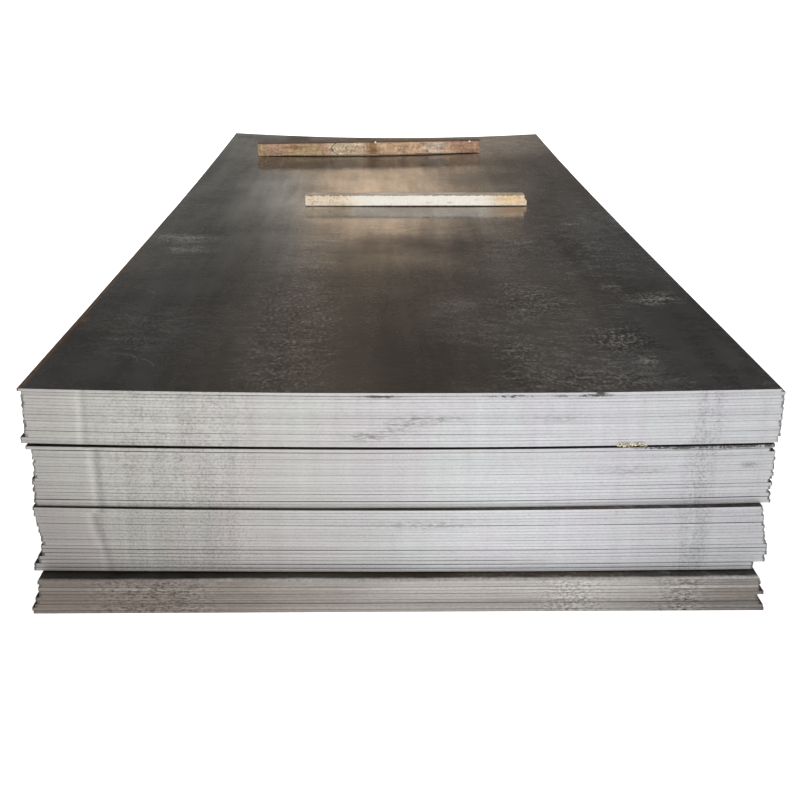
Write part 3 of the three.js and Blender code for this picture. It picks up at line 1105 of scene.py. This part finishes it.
def sheared_steel(name):
    """Bright sheared ends of plates: satin metal that differs a little from plate to plate."""
    material, tree, shader = new_finish(name)
    at = edge_values(tree)
    at.speckle = tree.centred(at.place, 190.0, detail=3.0, roughness=0.75)
    at.cloud = tree.centred(at.place.stretched(1, 1, 0.6), 9.0, detail=3.0, roughness=0.6)
    at.stripes = tree.centred(tree.vector(at.x * 42, at.y, at.z * 3), 1.0, detail=3.0)
    at.ripples = at.x.zone(*RIPPLED)
    at.scars = (at.x - at.z * 0.05).zone(*SCARRED)
    color = tree.mix(at.x.ramp(-0.6, 0.35), WARM_STEEL, COOL_STEEL)
    tint = tree.mix(at.cloud.ramp(-0.12, 0.12), PINKISH_TINT, GREENISH_TINT)
    shine = sheared_shine(tree, at, at.z.ramp(0.44, 0.08))
    color = tree.tinted(tree.stained(color, tint), shine)
    soil = sheared_soil(tree, at)
    dress(tree, shader, {
        "Base Color": tree.mix(soil, color, BLACK_GRIME),
        "Metallic": 0.5 - soil * 0.4,
        "Roughness": 0.46 + (at.speckle + at.cloud) * 0.12,
    })
    rough = at.ripples.at_least(at.scars)
    roughen(tree, shader, at.speckle * (0.3 + rough), 0.3, 0.4 * MM)
    return material


def soiled_steel(name):
    """Ends of the lowest plates: grey steel under brown dirt and rust, speckled."""
    material, tree, shader = new_finish(name)
    at = edge_values(tree)
    x, z = at.x, at.z
    speckle = tree.centred(at.place.stretched(0.5, 1, 1.2), 230.0, detail=3.0, roughness=0.75)
    layer = at.number * 4.3 + at.rise * 2.2
    streak = tree.centred(tree.vector(x * 2.2, layer, 0), 1.0, detail=4.0, roughness=0.68)
    cloud = tree.centred(at.place.stretched(1, 1, 1.5), 7.0, detail=4.0, roughness=0.65)
    brown = x.ramp(0.1, -0.6, 0.1, 0.9) + x.ramp(0.4, 0.72) * 0.65 + streak * 2.6
    brown = (brown + cloud * 0.8 + (at.tone - 0.5) * 0.5).within()
    color = tree.mix(x.ramp(-0.4, 0.2), DULL_BROWN_STEEL, DULL_GREY_STEEL)
    color = tree.mix(brown * 0.9, color, BROWN_DIRT)
    left, middle, right = (x.zone(*stretch) for stretch in SPECKLED)
    rough = left.at_least(middle * 0.8).at_least(right * 0.8)
    shine = 1 + speckle.at_most(0.08) * (0.8 + rough * 4.0) + cloud * 0.2
    shine = shine + streak * (0.9 + x.ramp(-0.3, -0.7) * 1.3)
    # Darker along the bottom on the right, and painted shade as the light falls off towards the
    # right
    shine = shine - z.ramp(0.034, 0.02) * x.ramp(-0.3, 0.2) * 0.24 - x.ramp(0.36, 0.56) * 0.13
    color = tree.tinted(color, shine.at_least(0.05))
    # Painted shade in the joints between plates, brown on the left and grey on the right
    joint_shade = tree.mix(x.ramp(0.2, -0.3), GREY_JOINT_SHADE, BROWN_JOINT_SHADE)
    color = tree.mix(joint_lines(tree, at, x, 0.35, 1.0) * 0.9, color, joint_shade)
    dress(tree, shader, {
        "Base Color": tree.mix(dark_corners(at, speckle), color, CORNER_DARK),
        "Metallic": 0.4 - brown * 0.35,
        "Roughness": 0.52 + brown * 0.25,
    })
    roughen(tree, shader, speckle + streak * 0.4, 0.4, 0.5 * MM)
    return material


def rolled_side(name):
    """Long sides of the plates, as rolled: dark scale with rust."""
    material, tree, shader = new_finish(name)
    at = edge_values(tree)
    spot = tree.vector(at.x * 2, at.y * 2.4, at.number * 1.3)
    patchy = tree.noise(spot, 1.0, detail=5.0, roughness=0.65)
    grain = tree.centred(at.place.stretched(1, 0.6, 1), 160.0, detail=4.0, roughness=0.75)
    run = tree.vector(0, at.y * 14, at.number * 2.9)
    streak = tree.centred(run, 1.0, detail=3.0, roughness=0.7)
    rust = (patchy + streak * 0.4 + grain * 0.3).ramp(0.44, 0.64)
    shade = 0.72 + at.tone * 0.4 + grain * 0.7 + streak * 0.3
    shade = (shade - joint_lines(tree, at, at.y, 0.15, 0.6)).at_least(0.08)
    dress(tree, shader, {
        "Base Color": tree.tinted(tree.mix(rust, ROLLED_SCALE, ROLLED_RUST), shade),
        "Metallic": 0.45 - rust * 0.4,
        "Roughness": 0.48 + rust * 0.3,
    })
    roughen(tree, shader, grain, 0.4, 0.5 * MM)
    return material


# ---- faces of the plates


def scale_values(tree):
    """What the parts of the mill scale's finish read: the place, masks and centred noises."""
    place = object_place(tree)
    z = place.part("Z")
    flat = place.stretched(1, 1, 0)
    rim = rim_noise(tree, flat, 24.0)
    return SimpleNamespace(
        flat=flat,
        x=place.part("X"),
        y=place.part("Y"),
        z=z,
        rim=rim,
        on_top=z > STACK_HEIGHT - 1 * MM,
        unworn=patch(flat, *UNWORN, rim),
        cloud=tree.centred(flat.stretched(1, 0.7, 1), 2.1, detail=4.0, roughness=0.62),
        streak=tree.centred(flat.stretched(1, 0.08, 1), 9.0, detail=5.0, roughness=0.7),
        smear=tree.centred(flat.stretched(0.5, 1, 1), 30.0, detail=4.0, roughness=0.7),
        dash=tree.centred(flat.stretched(0.4, 1, 1), 75.0, detail=4.0, roughness=0.7),
        fleck=tree.centred(flat.stretched(1, 0.6, 1), 120.0, detail=3.0, roughness=0.75),
    )


def scratch(x, y, start, end, bow):
    """Is 1 along a shallow arc from start to end."""
    run = Vector(end) - Vector(start)
    way = run.normalized()
    x, y = x - start[0], y - start[1]
    along = (x * way.x + y * way.y) / run.length
    off = y * way.x - x * way.y - along * (1 - along) * (4 * bow)
    mark = abs(off).ramp(SCRATCH_HALF_WIDTH, SCRATCH_HALF_WIDTH / 3)
    return mark * (along > 0) * (along < 1)


def scale_wear(at):
    """How far the scale is worn off, and how deeply it is pitted."""
    scuffed = patches(at.flat, SCUFFS, at.rim)
    scuffed = scuffed * (0.35 + at.smear * 4.5 + at.fleck * 7).at_least(0)
    broken = patches(at.flat, CRUMBLED, at.rim)
    crumbled = broken * (at.fleck * 2 + at.smear * 0.7 + at.cloud * 0.3).ramp(0.02, 0.24)
    pits = broken * (at.smear * -0.8 - at.fleck * 1.6).ramp(0.02, 0.2)
    worn = scuffed.at_least(crumbled * 0.8)
    for row in SCRATCHES:
        worn = worn.at_least(scratch(at.x, at.y, *row) * (0.5 + at.fleck * 2.5))
    specks = (at.dash + at.fleck + at.smear * 0.7 + at.cloud * 0.6).ramp(0.03, 0.28)
    specks = specks * (at.x + at.cloud * 0.5).ramp(0.02, 0.25) * (1 - at.unworn) * 0.4
    return (worn * at.on_top).at_least(specks).at_most(1), pits


def scale_tone(at, pits):
    """How light the scale is from place to place, with painted shade on the faces below the top."""
    tone = 0.75 + at.cloud * 1.5 + at.streak * 1.1 + at.smear * 0.6 + at.fleck * 1.1
    for middle, half, strength in BANDS:
        tone = tone + (at.x + at.streak * 0.08).bell(middle, half) * strength
    tone = tone + patches(at.flat, FADED, at.rim) - at.unworn * 0.25 + at.dash * 0.5
    tone = tone * (1 - patch(at.flat, *SHADED, at.rim) * 0.3)
    # Painted shade: below the top face, as on the ledge under the overhang, the scale is darker
    # towards the left; on every face it is lighter towards the right
    painted_ledge_shade = (0.6 + at.x.ramp(-0.1, 0.2) * 0.8).at_least(at.on_top)
    return (tone * (1 - pits * 0.6) * painted_ledge_shade).at_least(0.2)


def ledge_dust(at):
    """Dust on the outer part of the ledge."""
    start = DUST_START + at.x.ramp(-0.3, -0.7) * -7 * MM + at.smear * DUST_FADE
    ledge = (at.z > LEDGE_TOP - LEDGE_BELOW) * (at.z < LEDGE_TOP + LEDGE_ABOVE)
    dust = (start - at.y).ramp(0, DUST_FADE) * (0.8 + at.fleck * 1.4).at_most(1)
    return dust * ledge


def edge_rust(at):
    """Rust along the left edge of the uppermost plate, and a spot of it near the edge."""
    seam = (at.x + at.smear * 0.01).ramp(*RUST_SEAM) * at.y.ramp(-0.1, -0.9)
    rust = seam.at_least(patch(at.flat, *RUST_SPOT, at.rim)) * at.on_top
    return (rust * (0.5 + at.fleck * 3)).within()


def scale_gloss(at, dulled):
    """How strongly the film on the scale reflects: the weight of the shader's coat."""
    film = 0.8 + at.cloud * 1.1 + at.streak * 1.1 + at.smear * 0.25 + at.fleck * 0.3
    for middle, half, strength in GLOSSES:
        film = film + patch(at.flat, middle, half, at.rim * 0.5) * strength
    for mask, share in dulled:
        film = film * (1 - mask * share)
    return (film * at.on_top).within()


def mill_scale(name):
    """Faces of the plates: dark scale, half glossy, with streaks along the rolling and wear."""
    material, tree, shader = new_finish(name)
    at = scale_values(tree)
    worn, pits = scale_wear(at)
    base = tree.mix(at.cloud.ramp(-0.15, 0.2), WARM_SCALE, COOL_SCALE)
    base = tree.mix(at.x.bell(-0.05, 0.28) * 0.9, base, BROWN_SCALE)
    color = tree.tinted(base, scale_tone(at, pits))
    dusty = patch(at.flat, *DUSTY, at.rim) * (0.7 + at.smear * 2.5)
    color = tree.mix(dusty.within() * 0.9, color, SCALE_DUST)
    # Painted reflection of the front batten: a warm brown patch in front of it, where the coat is
    # dulled too
    damp = patch(at.flat, *BATTEN_REFLECTION_PATCH, at.rim * 0.7) * (0.6 + at.smear * 1.6 + at.fleck)
    damp = (damp * at.on_top).within()
    color = tree.mix(damp * 0.7, color, BATTEN_REFLECTION_BROWN)
    rusty = patch(at.flat, *RUSTY, at.rim) * (0.75 + at.smear * 2) * at.on_top
    color = tree.mix(rusty.within(0, 0.8), color, RED_RUST)
    color = tree.mix(worn * 0.8, color, WORN_SCALE)
    dust = tree.mix(at.x.ramp(-0.7, -0.1), BROWN_DUST, PALE_DUST)
    color = tree.mix(ledge_dust(at), color, dust)
    rust = edge_rust(at)
    dulled = ((worn, 0.5), (pits, 0.7), (rust, 1), (damp, 0.3), (rusty, 0.45))
    dress(tree, shader, {
        "Base Color": tree.mix(rust * 0.7, color, EDGE_RUST),
        "Metallic": (0.2 - rust * 0.2) * at.on_top,
        "Roughness": 0.5 + at.smear * 0.4,
        "Coat Weight": scale_gloss(at, dulled),
        "Coat Roughness": 0.12,
        "Coat IOR": 1.6,
        "Specular IOR Level": 0.1,
    })
    roughen(tree, shader, at.smear * 0.4 + at.fleck * 0.3, 0.12, 1.0 * MM)
    return material


# ---- battens, nails and splinters


def sawn_grain(tree, bar, turn):
    """Growth rings that show as bands, lengthwise fibres, saw marks and specks on a batten."""
    ring_way = bar.part("Y") * math.cos(turn) + bar.part("Z") * math.sin(turn)
    bend = tree.centred(bar.stretched(3.0, 12, 12), 1.0, detail=2.0)
    rings = tree.math("SINE", (ring_way * 420 + bend * 9))
    fibre = tree.centred(bar.stretched(16, 240, 240), 1.0, detail=4.0, roughness=0.7)
    saw = tree.centred(bar.stretched(90, 34, 34), 1.0, detail=4.0, roughness=0.65)
    speck = tree.centred(bar, 110.0, detail=4.0, roughness=0.75)
    return rings, fibre, saw, speck


def pale_wood(name):
    """Fresh sawn softwood: creamy white, warmer towards its ends, with small marks."""
    material, tree, shader = new_finish(name)
    bar = held(tree, "bar", "Vector")
    x, z = bar.part("X"), bar.part("Z")
    rings, fibre, saw, speck = sawn_grain(tree, bar, 0.35)
    cloud = tree.centred(bar.stretched(9, 30, 30), 1.0, detail=3.0)
    drift = x + cloud * 0.1
    ends = drift.ramp(-0.17, -0.27).at_least(drift.ramp(0.2, 0.34))
    color = tree.mix(ends * 0.85, FRESH_WOOD, YELLOWED_WOOD)
    resin = drift.ramp(0.27, 0.36) * (0.5 + cloud * 2.4 + speck)
    color = tree.mix(resin, color, RESIN)
    tone = 0.95 + rings * 0.015 + fibre * 0.16 + saw * 0.12 + cloud * 0.14 + speck * 0.4
    color = tree.tinted(color, tone)
    marks = patches(bar, PALE_MARKS, rim_noise(tree, bar, 130.0)) * (0.8 + speck * 2)
    marks = marks.at_least((speck + ends * 0.11 + abs(z) * 3).ramp(0.15, 0.24) * 0.7)
    color = tree.mix(marks.within(), color, BARK_BROWN)
    # Darker brown along the top; along the lowest edge and the underside, a painted contact shadow
    # with some dirt
    soil = (z + speck * 0.012).ramp(0.0155, 0.0185) * (0.85 + cloud * 0.7 + speck * 0.8)
    under = (z + speck * 0.008 + cloud * 0.004).ramp(-0.0165, -0.0185) * 0.75
    soil = soil.at_least(under).within(0, 0.95)
    color = tree.mix(soil, color, WOOD_SHADE_AND_SOIL)
    dress(tree, shader, {"Base Color": color, "Roughness": 0.78, "Specular IOR Level": 0.3})
    roughen(tree, shader, fibre + saw * 0.6 + speck * 0.5, 0.5, 0.6 * MM)
    return material


def weathered_color(tree, bar, cloud, speck):
    """The colours of the weathered wood, which change along the batten."""
    x, z = bar.part("X"), bar.part("Z")
    drift = x + cloud * 0.09 + speck * 0.02
    color = tree.mix(drift.ramp(-0.25, 0.12), BROWN_WOOD, LIGHT_BROWN_WOOD)
    green = (z + cloud * 0.05).ramp(0.004, -0.012) * drift.zone(-0.4, -0.2, 0.04)
    green = green.at_least(drift.ramp(-0.45, -0.5) * 0.7)
    green = green.at_least(drift.zone(-0.37, -0.24, 0.03) * 0.6)
    color = tree.mix(green * 0.55, color, GREENISH_WOOD)
    pink = drift.zone(-0.47, -0.39, 0.02) * 0.35
    pink = pink.at_least(drift.zone(-0.215, -0.18, 0.02) * 0.7)
    color = tree.mix(pink, color, PINK_WOOD)
    color = tree.mix(patch(bar, *SCORCHED, speck * 2) * 0.7, color, SCORCHED_WOOD)
    knot_reach = ((x - KNOT) * (x - KNOT) * 0.16 + z * z) ** 0.5
    figure = tree.math("SINE", knot_reach * 900 + cloud * 7) * 0.5 + 0.5
    pale_knot = drift.zone(-0.19, -0.03, 0.015)
    color = tree.mix(pale_knot * (0.3 + 0.7 * figure), color, PALE_KNOT)
    color = tree.mix(drift.zone(0.25, 0.34, 0.02) * 0.6, color, GREYED_WOOD)
    color = tree.mix(drift.ramp(0.34, 0.42) * 0.85, color, RED_BROWN_WOOD)
    stain = (x + cloud * 0.03 + speck * 0.01).zone(-0.006, 0.03, 0.01)
    return tree.mix(stain * 0.85, color, WATER_STAIN)


def brown_wood(name):
    """Weathered sawn softwood: brown, with damp stains, a knot and greyer and redder stretches."""
    material, tree, shader = new_finish(name)
    bar = held(tree, "bar", "Vector")
    x, z = bar.part("X"), bar.part("Z")
    rings, fibre, saw, speck = sawn_grain(tree, bar, 1.2)
    cloud = tree.centred(bar.stretched(22, 45, 45), 1.0, detail=5.0, roughness=0.7)
    tone = 1.06 + rings * 0.03 + fibre * 0.35 + saw * 1.1 + cloud * 1.9 + speck * 2.2
    cracks = abs(tree.centred(bar.stretched(9, 160, 160), 1.0, detail=2.0)).ramp(0.012, 0.0)
    curved = abs(x - CRACK - z * z * 34 + speck * 0.01).ramp(0.006, 0.002)
    tone = (tone - cracks * 0.35 - curved * 0.5).at_least(0.12)
    color = tree.tinted(weathered_color(tree, bar, cloud, speck), tone)
    marks = patches(bar, BROWN_MARKS, rim_noise(tree, bar, 110.0)) * (0.8 + speck * 2)
    color = tree.mix((marks * 0.8).within(), color, BLACK_MARK)
    # Painted shade: the top face and upper arris darkened, as if in shadow
    top = (z + speck * 0.008).ramp(0.0215, 0.025) * (0.95 + cloud * 0.4)
    color = tree.mix(top.within(), color, PAINTED_TOP_SHADE)
    dress(tree, shader, {"Base Color": color, "Roughness": 0.85, "Specular IOR Level": 0.25})
    roughen(tree, shader, fibre + saw * 0.4 + speck - cracks * 1.5, 0.7, 1.0 * MM)
    return material


def bright_nail(name):
    """Galvanised nail with specks of rust."""
    material, tree, shader = new_finish(name)
    speck = tree.noise(object_place(tree), 700.0, detail=3.0, roughness=0.7)
    color = tree.mix(speck.ramp(0.55, 0.7), ZINC, NAIL_RUST)
    dress(tree, shader, {"Base Color": color, "Metallic": 0.7, "Roughness": 0.3 + speck * 0.3})
    return material


def splinter_wood(name):
    """Yellowish-white chips of fresh wood, dark in places."""
    material, tree, shader = new_finish(name)
    spot = tree.noise(object_place(tree), 260.0, detail=3.0, roughness=0.7)
    color = tree.mix(spot.ramp(0.42, 0.56), CHIP_WOOD, CHIP_SHADE)
    dress(tree, shader, {"Base Color": color, "Roughness": 0.8})
    roughen(tree, shader, spot, 0.5, 0.5 * MM)
    return material


# ---- pieces -------------------------------------------------------------------------------------

clean_end = sheared_steel("sheared_end")
soiled_end = soiled_steel("sheared_end_soiled")
side = rolled_side("rolled_side")
scale = mill_scale("mill_scale")

for node in PACKS:
    lowest = node == "pack_bottom"
    pack = make_pack(node, (scale, soiled_end if lowest else clean_end, side))
    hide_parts(node)
    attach(pack, "root")

cover = make_top_plate((scale, clean_end, side))
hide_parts("top_plate")
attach(cover, "root")

WOODS = {"batten_front": pale_wood("pale_wood"), "batten_rear": brown_wood("brown_wood")}
for node, slot in (("batten_front", "pale_wood"), ("batten_rear", "brown_wood")):
    batten = make_batten(node, WOODS[node], CUTS[node])
    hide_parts(node)
    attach(batten, "root")


def batten_spot(node, x, y, z):
    """A place in a batten's own frame, as a place in the model."""
    own = batten_frame(node)
    return own["Place"] + own["Along"] * x + own["Across"] * y + own["Up"] * z


nail_finish = bright_nail("nail_steel")
for index, own in enumerate(NAIL_PLACES):
    place = batten_spot("batten_rear", *own)
    nail = lathed(f"nail_{index}", NAIL, place, NAIL_WAY, NAIL_SIDES, nail_finish)
    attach(nail, "root")

crumbs = make_splinters("splinters", splinter_wood("splinter_wood"))
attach(crumbs, "root")


# ---- floor, light and camera --------------------------------------------------------------------


def make_floor():
    material, tree, shader = new_finish("floor")
    shade = (FLOOR_SHADE, FLOOR_SHADE, FLOOR_SHADE)
    dress(tree, shader, {"Base Color": shade, "Roughness": 1, "Specular IOR Level": 0})
    reach = FLOOR_REACH
    mesh = bpy.data.meshes.new("floor")
    rim = [(-reach, -reach, 0), (reach, -reach, 0), (reach, reach, 0), (-reach, reach, 0)]
    mesh.from_pydata(rim, [], [(0, 1, 2, 3)])
    mesh.materials.append(material)
    floor = add_object("floor", mesh)


def make_room():
    """Soft light from all round, most of it from the front. Gloss sees a darker room behind, with
    a warm bright opening low down and a faint one beside it."""
    world = bpy.data.worlds.new("room")
    world.use_nodes = True
    bpy.context.scene.world = world
    tree = Tree(world.node_tree)
    background = world.node_tree.nodes["Background"]
    way = tree.node("ShaderNodeTexCoord", output="Generated")
    x, y, z = way.part("X"), way.part("Y"), way.part("Z")
    front = y.ramp(0.15, -0.5)
    behind = y.ramp(-0.3, 0.5)
    level = z.ramp(0.35, 0.9, 0.04, 0.9) * behind + (1 - behind) * 0.85
    azimuth = x / y.at_least(0.01)
    beside = azimuth / GLOW_HALF_WIDTH
    height = (z - GLOW_HEIGHT) / GLOW_HALF_HEIGHT
    opening = tree.math("EXPONENT", (beside * beside + height * height) * -1) * behind
    window = azimuth.bell(WINDOW_SIDEWAYS, 0.1) * z.bell(0.18, 0.045) * behind
    glossy = tree.mix(window * 0.8, tree.tinted((1, 1, 1), level), WINDOW_GREY)
    glow = tree.mix(azimuth.ramp(-0.035, -0.08), WARM_GLOW, PALE_GLOW)
    glossy = tree.mix(opening, glossy, glow)
    is_gloss = tree.node("ShaderNodeLightPath", output="Is Glossy Ray")
    is_seen = tree.node("ShaderNodeLightPath", output="Is Camera Ray")
    color = tree.mix(is_gloss, tree.tinted((1, 1, 1), 1.5 + front), glossy)
    color = tree.mix(is_seen, color, (1, 1, 1))
    tree.feed(background.inputs["Color"], color)


def add_soft_light(name, place, target, size, power):
    """An area light that adds no reflection of its own."""
    light = bpy.data.lights.new(name, "AREA")
    light.shape = "RECTANGLE"
    light.size, light.size_y = size
    light.energy = power
    lamp = add_object(name, light)
    lamp.location = place
    lamp.rotation_euler = (Vector(target) - Vector(place)).to_track_quat("-Z", "Y").to_euler()
    lamp.visible_camera = False
    lamp.visible_glossy = False


def make_camera():
    data = bpy.data.cameras.new("camera")
    data.lens = CAMERA_LENS
    data.sensor_width = CAMERA_SENSOR
    data.clip_end = CAMERA_REACH
    camera = add_object("camera", data)
    turn = Matrix.Rotation(-CAMERA_TURN, 4, "Z")
    down = Matrix.Rotation(math.pi / 2 - CAMERA_DOWN, 4, "X")
    roll = Matrix.Rotation(CAMERA_ROLL, 4, "Z")
    camera.matrix_world = Matrix.Translation(CAMERA_PLACE) @ turn @ down @ roll
    bpy.context.scene.camera = camera


make_floor()
make_room()
add_soft_light("front_light", LIGHT_PLACE, LIGHT_TARGET, LIGHT_SIZE, LIGHT_POWER)
make_camera()
bpy.context.scene.view_settings.view_transform = "Standard"
